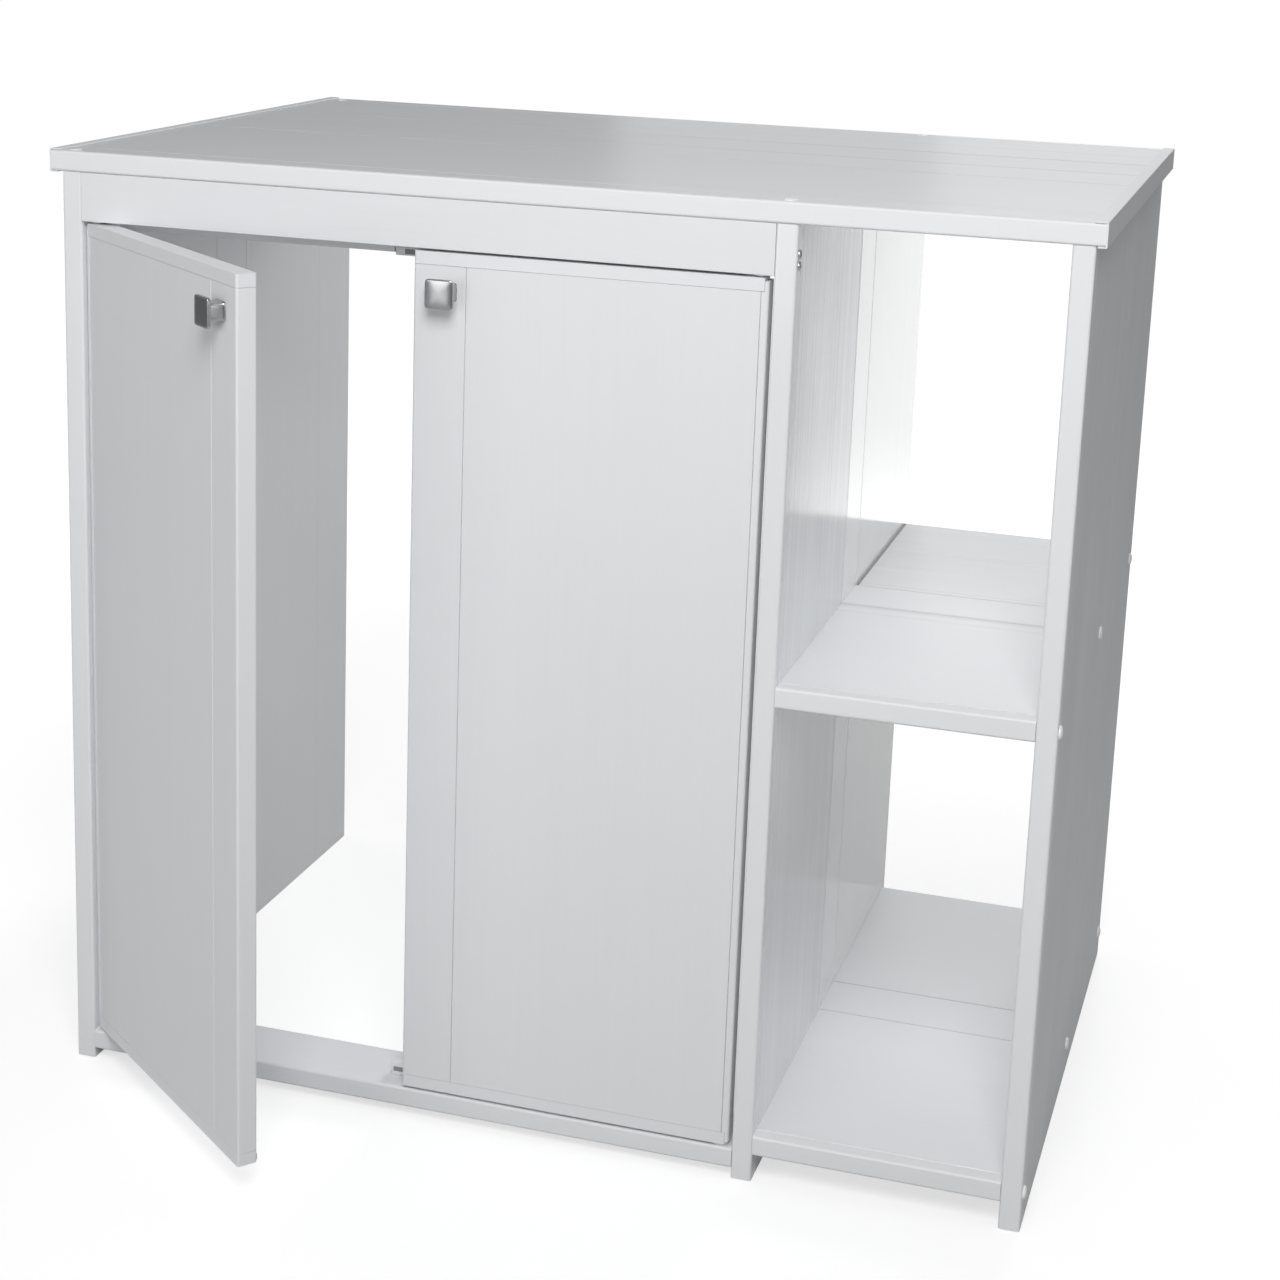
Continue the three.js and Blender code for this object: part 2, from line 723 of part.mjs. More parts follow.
// The edge profile at the hinges is notched at both ends for the caps, and its lip runs on beside
// them.
function addHingeEdge(door, name, side, boardFrom, boardLength) {
  const ends = ['rounded', 'tongue'];
  const [start, end] = side > 0 ? ends : [...ends].reverse();
  const spec = { width: hingeEdgeWidth, start, end, hollow: false };
  const place = Math.min(-side * pinInset, side * boardFrom);
  const lipLength = doorCapHeight + seam - hingeLipDrop;
  const length = boardLength + 2 * lipLength;
  const lipEnd = side * (doorCapSetback - pinInset) - place;
  const farEnd = lipEnd + side * boardThickness;
  const notches = [[-overrun, lipLength], [length - lipLength, length + overrun]].map(([from, to]) => box(
    [Math.min(lipEnd, farEnd), -boardThickness, from],
    [Math.max(lipEnd, farEnd), boardThickness, to],
  ));
  const bottom = doorBottom + hingeLipDrop;
  addMesh(door, `${name}_hinge_edge`, profile(spec, length, notches), edgePlastic, [place, 0, bottom]);
}

// The end caps close the boards' cells with plugs and hold the hinge pins. They end beside the
// hinge edge's lip.
function addDoorCaps(door, name, side, free, plugs) {
  const halfPlug = boardThickness / 2 - skin - slip;
  const hingeEnd = doorCapSetback + seam - pinInset;
  const left = Math.min(side * hingeEnd, side * free);
  const kinds = ['plain', 'rounded'];
  const [start, end] = side > 0 ? kinds : [...kinds].reverse();
  const spec = { width: free - hingeEnd, start, end, hollow: false };
  const ends = [
    { part: 'top_cap', bottom: doorTop - doorCapHeight, into: -1 },
    { part: 'bottom_cap', bottom: doorBottom, into: 1 },
  ];
  for (const { part, bottom, into } of ends) {
    const inner = into > 0 ? doorCapHeight : 0;
    const outer = into > 0 ? 0 : doorCapHeight;
    const keys = plugs.map(([from, to]) => {
      const heights = [inner - into * overrun, inner + into * (seam + capPlugDepth)];
      return box(
        [from + slip, -halfPlug, Math.min(...heights)],
        [to - slip, halfPlug, Math.max(...heights)],
      );
    });
    const pinHole = rod(
      pinRadius + slip,
      [0, 0, outer - into * overrun],
      [0, 0, outer + into * (pinSeatDepth + slip)],
    );
    const bar = profile(spec, doorCapHeight).translate(left, 0, 0);
    const geometry = cut(join(bar, keys), [pinHole]);
    addMesh(door, `${name}_${part}`, geometry, edgePlastic, [0, 0, bottom]);
  }
}

function addDoorFittings(door, name, side, free, knobAcross, knobHeight) {
  const halfDoor = boardThickness / 2;
  const knobPlace = [side * knobAcross, -halfDoor - slip, knobHeight];
  addMesh(door, `${name}_knob`, knobGeometry(), satinChrome, knobPlace);
  const screwPlace = [side * knobAcross, halfDoor + slip, knobHeight];
  addMesh(door, `${name}_knob_screw`, placed(knobScrew(), Y, screwPlace), zincSteel);

  const pin = (from, to) => rod(pinRadius, [0, 0, from], [0, 0, to]);
  const strikeX = side * (free - strikeInset);
  const strike = (z) => box(
    [strikeX - strikeWidth / 2, halfDoor + slip, z - strikeHeight / 2],
    [strikeX + strikeWidth / 2, halfDoor + slip + strikeThickness, z + strikeHeight / 2],
  );
  const topPin = pin(doorTop - pinSeatDepth, topRailBottom + pinEngagement);
  const bottomPin = pin(bottomRailTop - pinEngagement, doorBottom + pinSeatDepth);
  addMesh(door, `${name}_top_pin`, topPin, zincSteel);
  addMesh(door, `${name}_bottom_pin`, bottomPin, zincSteel);
  addMesh(door, `${name}_top_strike`, strike(topMagnetHeight), zincSteel);
  addMesh(door, `${name}_bottom_strike`, strike(bottomMagnetHeight), zincSteel);
}

addDoor('left_door', 1, leftPinX, restOpening);
addDoor('right_door', -1, rightPinX, 0);

// The origin is the middle of the bottom of the whole cabinet, doors included.
cabinet.updateMatrixWorld(true);
const bounds = new THREE.Box3().setFromObject(cabinet, true);
const middle = bounds.getCenter(new THREE.Vector3());
cabinet.position.set(-middle.x, -middle.y, -bounds.min.z);

export default cabinet;
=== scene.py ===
import bpy
import bmesh
import math
from mathutils import Matrix, Vector


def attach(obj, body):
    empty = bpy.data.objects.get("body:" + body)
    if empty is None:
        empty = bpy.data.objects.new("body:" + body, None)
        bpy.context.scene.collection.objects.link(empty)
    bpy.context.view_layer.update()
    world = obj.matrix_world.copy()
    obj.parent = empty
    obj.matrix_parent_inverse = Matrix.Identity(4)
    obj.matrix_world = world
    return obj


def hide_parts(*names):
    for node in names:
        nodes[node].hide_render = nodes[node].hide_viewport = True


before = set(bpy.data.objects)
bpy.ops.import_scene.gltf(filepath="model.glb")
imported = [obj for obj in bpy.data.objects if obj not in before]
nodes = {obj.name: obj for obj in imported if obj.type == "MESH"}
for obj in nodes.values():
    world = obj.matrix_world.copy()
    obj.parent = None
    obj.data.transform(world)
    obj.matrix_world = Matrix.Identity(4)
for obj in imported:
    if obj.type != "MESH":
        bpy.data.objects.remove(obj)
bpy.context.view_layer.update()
print("frame loaded:", len(nodes), "nodes")

# The cabinet is laid out in millimetres from the left panel's outer face, the panels' front edges
# and the floor. This turns such a place into the model's own metres.
layout = {
    "originX": 486.5,
    "originY": 228.863,
    "boardThickness": 20.0,
    "partitionX": 700.0,
    "rightPanelX": 956.0,
    "panelHeight": 919.0,
    "doorTop": 869.7,
    "leftPin": (33.0, 10.4),
    "leftOpening": 39.0,
}


def place(x, y, z):
    return Vector(((x - layout["originX"]) / 1000, (y - layout["originY"]) / 1000, z / 1000))


def sideways(y):
    return place(0, y, 0).y


# Camera: the turns are in radians, and the centre is where the lens's axis meets the frame

camera = {
    "place": (1183.3, -2076.6, 1206.8),
    "turnLeft": 0.30117,
    "lookDown": 0.22927,
    "roll": 0.03214,
    "focalPixels": 2449.7,
    "framePixels": 1280,
    "centre": (592, 450),
    "filmWidth": 36,
    "reach": 200,
}


def makeCamera():
    yaw, pitch, roll = camera["turnLeft"], camera["lookDown"], camera["roll"]
    forward = Vector((-math.sin(yaw) * math.cos(pitch), math.cos(yaw) * math.cos(pitch), -math.sin(pitch)))
    right = Vector((math.cos(yaw), math.sin(yaw), 0))
    up = right.cross(forward)
    rolledRight = right * math.cos(roll) + up * math.sin(roll)
    rolledUp = up * math.cos(roll) - right * math.sin(roll)
    data = bpy.data.cameras.new("camera")
    data.sensor_width = camera["filmWidth"]
    data.lens = camera["focalPixels"] * camera["filmWidth"] / camera["framePixels"]
    data.shift_x = 0.5 - camera["centre"][0] / camera["framePixels"]
    data.shift_y = camera["centre"][1] / camera["framePixels"] - 0.5
    data.clip_end = camera["reach"]
    holder = bpy.data.objects.new("camera", data)
    bpy.context.scene.collection.objects.link(holder)
    turn = Matrix((rolledRight, rolledUp, -forward)).transposed().to_4x4()
    holder.matrix_world = Matrix.Translation(place(*camera["place"])) @ turn
    bpy.context.scene.camera = holder


makeCamera()
print("camera made")


# Shader maths: a Wire is a socket, and an operator on it adds the node that works it out.

class Wire:
    def __init__(self, paint, socket):
        self.paint = paint
        self.socket = socket

    def calc(self, operation, *values, clamp=False):
        node = self.paint.node("ShaderNodeMath", {"operation": operation, "use_clamp": clamp}, *values)
        return Wire(self.paint, node.outputs[0])

    def __add__(self, other):
        return self.calc("ADD", self, other)

    def __radd__(self, other):
        return self.calc("ADD", other, self)

    def __sub__(self, other):
        return self.calc("SUBTRACT", self, other)

    def __rsub__(self, other):
        return self.calc("SUBTRACT", other, self)

    def __mul__(self, other):
        return self.calc("MULTIPLY", self, other)

    def __rmul__(self, other):
        return self.calc("MULTIPLY", other, self)

    def __abs__(self):
        return self.calc("ABSOLUTE", self)

    def __mod__(self, other):
        return self.calc("FLOORED_MODULO", self, other)

    def clipped(self):
        return self.calc("ADD", self, 0, clamp=True)


class Paint:
    def __init__(self, name, tree=None):
        if tree is None:
            self.material = bpy.data.materials.new(name)
            self.material.use_nodes = True
            tree = self.material.node_tree
        self.tree = tree
        self.tree.nodes.clear()

    def plug(self, socket, value):
        if isinstance(value, Wire):
            self.tree.links.new(value.socket, socket)
        elif value is not None:
            socket.default_value = value

    # Settings come first, because some of them change the sockets.
    def node(self, kind, settings=None, *values, **named):
        made = self.tree.nodes.new(kind)
        for key, value in (settings or {}).items():
            setattr(made, key, value)
        for socket, value in zip(made.inputs, values):
            self.plug(socket, value)
        for key, value in named.items():
            self.plug(made.inputs[key.replace("_", " ")], value)
        return made

    def wire(self, made, output=0):
        return Wire(self, made.outputs[output])

    def point(self):
        return self.wire(self.node("ShaderNodeTexCoord"), "Object")

    def along(self, vector, direction):
        settings = {"operation": "DOT_PRODUCT"}
        return self.wire(self.node("ShaderNodeVectorMath", settings, vector, tuple(direction)), "Value")

    def join(self, x, y, z):
        return self.wire(self.node("ShaderNodeCombineXYZ", None, x, y, z))

    def noise(self, vector, scale=1.0, detail=2.0, roughness=0.5):
        return self.wire(self.node(
            "ShaderNodeTexNoise", None, Vector=vector, Scale=scale, Detail=detail, Roughness=roughness))

    def tint(self, factor, low, high):
        made = self.node("ShaderNodeMix", {"data_type": "RGBA"})
        self.plug(made.inputs[0], factor)
        self.plug(made.inputs[6], low)
        self.plug(made.inputs[7], high)
        return Wire(self, made.outputs[2])

    # The colour where the tone is a half, darker below that and paler above it, up to white.
    def toned(self, tone, colour, span):
        rise = min(span, 1 / max(colour) - 1)
        low, high = (tuple(c * factor for c in colour) + (1.0,) for factor in (1 - span, 1 + rise))
        return self.tint((tone * (2 * span / (span + rise))).clipped(), low, high)

    def range(self, value, low, high, newLow, newHigh):
        return self.wire(self.node(
            "ShaderNodeMapRange", {"interpolation_type": "SMOOTHSTEP"}, Value=value,
            From_Min=low, From_Max=high, To_Min=newLow, To_Max=newHigh))

    def bump(self, height, strength, distance):
        return self.wire(self.node(
            "ShaderNodeBump", None, Strength=strength, Distance=distance, Height=height))

    # Where the camera sees the surface directly or through glass
    def seen(self, path):
        return (self.wire(path, "Is Camera Ray") + self.wire(path, "Is Transmission Ray")).clipped()

    def finish(self, **sockets):
        surface = self.node("ShaderNodeBsdfPrincipled", None, **sockets)
        self.node("ShaderNodeOutputMaterial", None, self.wire(surface))
        return self.material


rightward, inward, upward = (1, 0, 0), (0, 1, 0), (0, 0, 1)


# Extruded plastic: faint lines run along each profile, with shallow marks over the inner webs.

plasticIndex = 1.5

# Per metre is how many marks there are across, along and through a board. Contrast is how far a mark
# changes the tone, and depth how far it changes the relief. A line's core is its darkest share.
extrudedLook = {
    "colour": (0.785, 0.797, 0.816),
    "toneSpan": 0.3,
    "streaksPerMetre": (260.0, 3.12, 40.0),
    "streakContrast": 0.055,
    "streakDepth": 0.5,
    "bandsPerMetre": (28.0, 0.9, 20.0),
    "bandContrast": 0.03,
    "bandDepth": 1.2,
    "cloudsPerMetre": 5.0,
    "cloudContrast": 0.04,
    "grainPerMetre": 900.0,
    "grainDepth": 0.06,
    "grainRoughness": 0.03,
    "lineCore": 0.3,
    "lineDepth": 0.4,
    "fadedShare": 0.15,
    "nearFaceShare": 0.25,
    "webPitch": 0.0371,
    "webWidth": 0.0024,
    "webDepth": 0.35,
    "topShadeHeights": (0.9372, 0.9386),
    "shadowReach": (0.0014, 0.0032),
    "roughness": 0.42,
    "roughnessSpread": 0.09,
    "coat": 0.0,
    "coatRoughness": 0.12,
    "specular": 0.35,
    "bumpStrength": 0.35,
    "bumpDistance": 0.0004,
}


# Lines run along a board: each has its place and half width in millimetres and how dark it is. The
# fade is where along the board the marks grow from faint to full, and the far face is where they do
# so through it; where a finish uses these, the stronger marks are partly painted reflection. The
# painted top shade darkens a top face above its rounding, and the end shadow is a painted shadow in
# the open gap at the board's end.
def extrudedMaterial(name, across, along, lines=(), webStart=None, endShadow=None, fade=None, paintedTopShade=None,
                     farFace=None, **changes):
    look = {**extrudedLook, **changes}
    paint = Paint(name)
    point = paint.point()
    across = Vector(across).normalized()
    along = Vector(along).normalized()
    u = paint.along(point, across)
    w = paint.along(point, along)
    v = paint.along(point, across.cross(along))

    def marks(perMetre, detail, roughness):
        where = paint.join(*(axis * count for axis, count in zip((u, w, v), perMetre)))
        return paint.noise(where, detail=detail, roughness=roughness) - 0.5

    streaks = marks(look["streaksPerMetre"], detail=3.0, roughness=0.65)
    bands = marks(look["bandsPerMetre"], detail=2.0, roughness=0.5)
    clouds = paint.noise(point, look["cloudsPerMetre"], detail=3.0, roughness=0.55) - 0.5
    grain = paint.noise(point, look["grainPerMetre"], detail=2.0, roughness=0.6) - 0.5

    height = streaks * look["streakDepth"] + bands * look["bandDepth"] + grain * look["grainDepth"]
    if webStart is not None:
        pitch = look["webPitch"]
        offset = abs((u - webStart) % pitch - pitch / 2)
        height = height - paint.range(offset, pitch / 2 - look["webWidth"], pitch / 2, 0.0, look["webDepth"])

    groove = None
    for position, halfWidth, dark in lines:
        reach = halfWidth / 1000
        mark = paint.range(abs(u - sideways(position)), reach * look["lineCore"], reach, dark, 0.0)
        groove = mark if groove is None else groove + mark
    pattern = streaks * look["streakContrast"] + bands * look["bandContrast"]
    # Painted reflection in part: the lines and streaks are scaled up where a reflection would show them.
    if fade is not None:
        strength = paint.range(w, *fade, look["fadedShare"], 1.0)
        if farFace is not None:
            strength = strength * paint.range(v, *farFace, look["nearFaceShare"], 1.0)
        groove, pattern = groove * strength, pattern * strength
    tone = pattern + clouds * look["cloudContrast"] + 0.5
    if groove is not None:
        height = height - groove * look["lineDepth"]
        tone = tone - groove
    # Painted shade: a top face is made darker above its rounding.
    if paintedTopShade is not None:
        tone = tone + paint.range(paint.along(point, upward), *look["topShadeHeights"], 0.0, paintedTopShade)
    # Painted shadow: a dark line where the open gap at the board's end lies in shade.
    if endShadow is not None:
        tone = tone - paint.range(abs(w - endShadow), *look["shadowReach"], 1.0, 0.0)
    return paint.finish(
        Base_Color=paint.toned(tone, look["colour"], look["toneSpan"]),
        Roughness=bands * look["roughnessSpread"] + grain * look["grainRoughness"] + look["roughness"],
        Normal=paint.bump(height, look["bumpStrength"], look["bumpDistance"]),
        Coat_Weight=look["coat"],
        Coat_Roughness=look["coatRoughness"],
        Specular_IOR_Level=look["specular"],
        IOR=plasticIndex,
    )


# Moulded plastic for caps, bushes and catches

mouldedLook = {
    "colour": (0.8, 0.812, 0.832),
    "toneSpan": 0.16,
    "specksPerMetre": 1400.0,
    "cloudsPerMetre": 60.0,
    "contrast": 0.08,
    "roughness": 0.32,
    "roughnessSpread": 0.12,
    "specular": 0.5,
    "cloudDepth": 3,
    "bumpStrength": 0.15,
    "bumpDistance": 0.0002,
}


def mouldedMaterial(name, **changes):
    look = {**mouldedLook, **changes}
    paint = Paint(name)
    point = paint.point()
    specks = paint.noise(point, look["specksPerMetre"])
    clouds = paint.noise(point, look["cloudsPerMetre"], detail=3.0)
    tone = (clouds - 0.5) * look["contrast"] + (specks - 0.5) * look["contrast"] + 0.5
    return paint.finish(
        Base_Color=paint.toned(tone, look["colour"], look["toneSpan"]),
        Roughness=look["roughness"] + (clouds - 0.5) * look["roughnessSpread"],
        Normal=paint.bump(specks + clouds * look["cloudDepth"], look["bumpStrength"], look["bumpDistance"]),
        Specular_IOR_Level=look["specular"],
        IOR=plasticIndex,
    )


# Metals

metalLook = {
    "colour": (0.62, 0.63, 0.64),
    "toneSpan": 0.5,
    "brushPerMetre": 2600.0,
    "brushStretch": 0.04,
    "smudgesPerMetre": 90.0,
    "contrast": 0.12,
    "roughness": 0.3,
    "roughnessSpread": 0.05,
    "bumpStrength": 0.05,
    "bumpDistance": 0.0001,
}


def metalMaterial(name, along, **changes):
    look = {**metalLook, **changes}
    paint = Paint(name)
    point = paint.point()
    across = Vector(along).cross(Vector(inward))
    brushPlace = paint.join(
        paint.along(point, along) * (look["brushPerMetre"] * look["brushStretch"]),
        paint.along(point, across) * look["brushPerMetre"],
        paint.along(point, Vector(along).cross(across)) * look["brushPerMetre"],
    )
    brush = paint.noise(brushPlace, detail=3.0, roughness=0.6)
    smudges = paint.noise(point, look["smudgesPerMetre"], detail=3.0)
    wear = (brush - 0.5) + (smudges - 0.5)
    return paint.finish(
        Base_Color=paint.toned(wear * look["contrast"] + 0.5, look["colour"], look["toneSpan"]),
        Metallic=1.0,
        Roughness=look["roughness"] + wear * look["roughnessSpread"],
        Normal=paint.bump(brush, look["bumpStrength"], look["bumpDistance"]),
    )


magnetLook = {
    "darkColour": (0.2, 0.2, 0.205, 1.0),
    "paleColour": (0.34, 0.34, 0.35, 1.0),
    "specksPerMetre": 2600.0,
    "roughness": 0.5,
    "roughnessSpread": 0.25,
    "bumpStrength": 0.4,
    "bumpDistance": 0.0002,
}


def magnetMaterial():
    look = magnetLook
    paint = Paint("ferrite")
    specks = paint.noise(paint.point(), look["specksPerMetre"], detail=3.0, roughness=0.7)
    return paint.finish(
        Base_Color=paint.tint(specks, look["darkColour"], look["paleColour"]),
        Roughness=look["roughness"] + specks * look["roughnessSpread"],
        Normal=paint.bump(specks, look["bumpStrength"], look["bumpDistance"]),
    )


# The lines on the boards: place and half width in millimetres, and darkness

faintLines = [(y, 0.7, 0.2) for y in (39, 70, 81, 376, 560)]
# The partition's pale line at 236, with a negative darkness, is a painted highlight.
partitionLines = [(20, 2, 0.15), (38, 2, 0.15), (80, 3, 0.12), (120, 5, 0.06), (200, 4, 0.18),
                  (236, 3, -0.25), (262, 4, 0.12), (286, 4, 0.4)]
worktopLines = [(60, 3, 0.07), (288, 5, 0.18), (380, 5, 0.3), (440, 4, 0.08), (478, 5, 0.33), (560, 5, 0.1)]
shelfLines = [(290, 1.6, 0.3), (362, 1.6, 0.3)]
midShelfLines = [(266, 4, 0.08), (288, 10, 0.16), (290, 3, 0.22), (362, 2.2, 0.24)]
midShelfRearLines = [(362, 2.2, 0.08), (373, 2, 0.07)]
firstWeb = sideways(60.2)  # the first inner web of an upright board
# Where the middle shelf's rear board meets the partition, for its painted shadow line
midShelfRearEnd = place(720, 0, 0).x
# Across the partition's thickness, its marks, partly painted reflection, grow onto the right face
partitionFarFace = (place(705, 0, 0).x, place(715, 0, 0).x)

opening = math.radians(layout["leftOpening"])
leftDoorwards = (math.cos(opening), -math.sin(opening), 0)
edgeLook = {"colour": (0.81, 0.82, 0.836), "streakContrast": 0.03}
shelfLook = {"roughness": 0.26, "specular": 0.5}
smoothShelfLook = {**shelfLook, "roughnessSpread": 0.02, "streakDepth": 0.1, "bandDepth": 0.25}

# Each finish has the directions across and along its lines.
finishes = {
    # Painted reflection in part: the partition's strong streaks, bands and lines grow toward the top and
    # onto the right face where reflections show them; the lines are also grooves in the relief.
    "partitionFront": extrudedMaterial(
        "partition front board", inward, upward, colour=(0.82, 0.832, 0.85), roughness=0.2, specular=0.5,
        coat=0.6, toneSpan=0.6, streakContrast=0.6, bandContrast=0.6, streakDepth=0.9,
        lines=partitionLines, webStart=firstWeb, fade=(0.45, 0.9), farFace=partitionFarFace),
    "partitionRear": extrudedMaterial(
        "partition rear board", inward, upward, colour=(0.84, 0.845, 0.852), roughness=0.12,
        specular=0.5, coat=1.0, streakDepth=0.25, bandDepth=0.5, lines=[(560, 0.7, 0.2)]),
    "partitionEdge": extrudedMaterial(
        "partition edge", inward, upward, **edgeLook, roughness=0.2, specular=0.5, coat=0.6),
    "uprightBoard": extrudedMaterial(
        "upright board", inward, upward, lines=faintLines, webStart=firstWeb),
    "uprightEdge": extrudedMaterial("upright edge", inward, upward, **edgeLook),
    # Painted shade and reflection: the right panel's colour is a little darker than the other boards', and
    # its strong bands and clouds stand in for soft reflections on its outer face.
    "rightPanelBoard": extrudedMaterial(
        "right panel board", inward, upward, colour=(0.765, 0.787, 0.807), roughness=0.55,
        specular=0.05, bandContrast=0.15, cloudContrast=0.25, lines=faintLines, webStart=firstWeb),
    # Painted shade: the worktop board's colour is darker than the other boards' for its top's dimmer light,
    # and its lines and streaks grow toward the right end partly as painted reflection.
    "worktopBoard": extrudedMaterial(
        "worktop board", inward, rightward, colour=(0.705, 0.718, 0.736), roughness=0.34, specular=0.2,
        streakContrast=0.1, bandContrast=0.12, bandDepth=2.5, lineDepth=4.0, lines=worktopLines,
        fade=(-0.25, 0.4)),
    # Painted shade: the edge profile's top face is darkened to the worktop board's tone.
    "worktopEdge": extrudedMaterial(
        "worktop edge", inward, rightward, **edgeLook, roughness=0.34, specular=0.2, paintedTopShade=-0.2),
    "endCap": extrudedMaterial(
        "worktop end cap", upward, inward, colour=(0.79, 0.802, 0.82), specular=0.1, streakContrast=0.03),
    "shelfBoard": extrudedMaterial("shelf board", inward, rightward, **smoothShelfLook, lines=shelfLines),
    "midShelfBoard": extrudedMaterial(
        "middle shelf board", inward, rightward, **smoothShelfLook, lines=midShelfLines),
    # Painted shadow: a dark line at the board's end, in the open gap to the partition; the wide tone span
    # lets that line go dark.
    "midShelfRear": extrudedMaterial(
        "middle shelf rear board", inward, rightward, **shelfLook, toneSpan=0.8, streakDepth=0.3,
        streakContrast=0.05, bandContrast=0.01, cloudContrast=0.02, lines=midShelfRearLines,
        endShadow=midShelfRearEnd),
    "shelfEdge": extrudedMaterial("shelf edge", inward, rightward, **edgeLook),
    "rail": extrudedMaterial("rail", upward, rightward),
    "lowRail": extrudedMaterial("low rail", inward, rightward),
    "leftDoorBoard": extrudedMaterial("left door board", leftDoorwards, upward),
    "rightDoorBoard": extrudedMaterial("right door board", rightward, upward),
    "moulded": mouldedMaterial("moulded plastic"),
    "doorCap": mouldedMaterial("door cap plastic", colour=(0.79, 0.803, 0.825)),
    "coverCap": mouldedMaterial("cover cap plastic", colour=(0.95, 0.95, 0.95), roughness=0.25),
    "chrome": metalMaterial("satin chrome", upward, colour=(0.51, 0.52, 0.53), roughness=0.25),
    "zinc": metalMaterial("zinc steel", upward),
    "ferrite": magnetMaterial(),
}
print("finishes made:", len(finishes))


def finishOf(name):
    if name.startswith(("left_door_", "right_door_")):
        side = name.split("_")[0]
        part = name.split("_door_")[1]
        if part in ("stile", "board", "hinge_edge"):
            return side + "DoorBoard"
        if part in ("top_cap", "bottom_cap"):
            return "doorCap"
        return "chrome" if part == "knob" else "zinc"
    if name.endswith("magnet"):
        return "ferrite"
    if name.endswith(("bush", "catch")):
        return "moulded"
    if name.endswith("end_cap"):
        return "endCap"
    if name in ("top_rail", "door_stop_strip"):
        return "rail"
    if name == "bottom_rail":
        return "lowRail"
    if name == "partition_front_edge":
        return "partitionEdge"
    if name.startswith("partition"):
        return "partitionFront" if name.endswith("front_board") else "partitionRear"
    if name.startswith("right_panel") and not name.endswith("_edge"):
        return "rightPanelBoard"
    if name.startswith("mid_shelf") and not name.endswith("_edge"):
        return "midShelfRear" if name.endswith("rear_board") else "midShelfBoard"
    family = "worktop" if name.startswith("worktop") else "shelf" if "shelf" in name else "upright"
    return family + ("Edge" if name.endswith("_edge") else "Board")


def paintNodes():
    for name, node in nodes.items():
        node.data.materials.clear()
        node.data.materials.append(finishes[finishOf(name)])


paintNodes()
print("carried-over nodes painted")


# Pieces made here are drawn in millimetres, standing on the XY plane and facing along +Z, and are
# then stood on the face that carries them.

def stand(x, y, z, facing, over=upward):
    facing = Vector(facing)
    side = Vector(over).cross(facing)
    turn = Matrix((side, facing.cross(side), facing)).transposed().to_4x4()
    return Matrix.Translation(place(x, y, z)) @ turn @ Matrix.Scale(0.001, 4)


# The left door stands open at rest, so what is fixed to it is turned about its pin.
def swung(side):
    if side != "left":
        return Matrix()
    pin = place(*layout["leftPin"], 0)
    return Matrix.Translation(pin) @ Matrix.Rotation(-opening, 4, "Z") @ Matrix.Translation(-pin)


# Each shape comes with the matrix that stands it in its place. Edges sharper than the angle stay sharp.
def makePiece(name, shapes, finish, body, smoothAngle=35.0):
    points, faces = [], []
    for matrix, (shapePoints, shapeFaces) in shapes:
        start = len(points)
        points += [matrix @ Vector(p) for p in shapePoints]
        faces += [tuple(start + k for k in face) for face in shapeFaces]
    data = bpy.data.meshes.new(name)
    data.from_pydata(points, [], faces)
    made = bmesh.new()
    made.from_mesh(data)
    bmesh.ops.recalc_face_normals(made, faces=made.faces)
    for edge in made.edges:
        edge.smooth = edge.calc_face_angle(0) < math.radians(smoothAngle)
    for face in made.faces:
        face.smooth = True
    made.to_mesh(data)
    made.free()
    piece = bpy.data.objects.new(name, data)
    bpy.context.scene.collection.objects.link(piece)
    data.materials.append(finishes[finish])
    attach(piece, body)
    return piece


# A closed skin over rings of points, with a fan at each end
def lofted(rings):
    count = len(rings[0])
    points = [p for ring in rings for p in ring]
    faces = []
    for row in range(len(rings) - 1):
        for k in range(count):
            near, far = row * count, (row + 1) * count
            faces.append((near + k, near + (k + 1) % count, far + (k + 1) % count, far + k))
    for ring, start in ((rings[0], 0), (rings[-1], len(points) - count)):
        centre = sum((Vector(p) for p in ring), Vector()) / count
        middle = len(points)
        points.append(tuple(centre))
        faces += [(start + k, start + (k + 1) % count, middle) for k in range(count)]
    return points, faces


# A round shape from pairs of radius and height
def turned(outline, steps=40):
    angles = [2 * math.pi * k / steps for k in range(steps)]
    return lofted([[(r * math.cos(a), r * math.sin(a), h) for a in angles] for r, h in outline])


def eased(value, start, end):
    share = min(1.0, max(0.0, (value - start) / (end - start)))
    return share * share * (3 - 2 * share)


# Cover caps over the screws in the worktop and the panels

coverCap = {
    "radius": 6.6,
    "rimHeight": 0.7,
    "height": 3.2,
    "worktopHeight": 1.15,
    "foot": [(-1.4, 0), (-0.1, 0), (0, 0.1)],
    "rim": [(0, -0.05), (-0.14, 0)],
    "domeShares": (0.965, 0.93, 0.87, 0.78, 0.66, 0.5, 0.3, 0.1),
    "domePower": 2.4,
    "worktopPlaces": [(10, 8), (710, 8), (10, 644), (710, 644)],
    "rightPanelPlaces": [(y, z) for z in (485.5, 37) for y in (8, 326, 624)],
    "partitionPlaces": [(y, z) for z in (485.5, 37) for y in (326, 624)],
}


# A crowned top, from the rim inwards
def domed(radius, low, high, shares, power):
    return [(radius * share, low + (high - low) * math.sqrt(1 - share ** power)) for share in shares]


def coverCapShape(height):
    radius = coverCap["radius"]
    rimHeight = coverCap["rimHeight"] * height / coverCap["height"]
    outline = [(radius + out, up) for out, up in coverCap["foot"]]
    outline += [(radius + out, rimHeight + up) for out, up in coverCap["rim"]]
    return turned(outline + domed(radius, rimHeight, height, coverCap["domeShares"], coverCap["domePower"]))


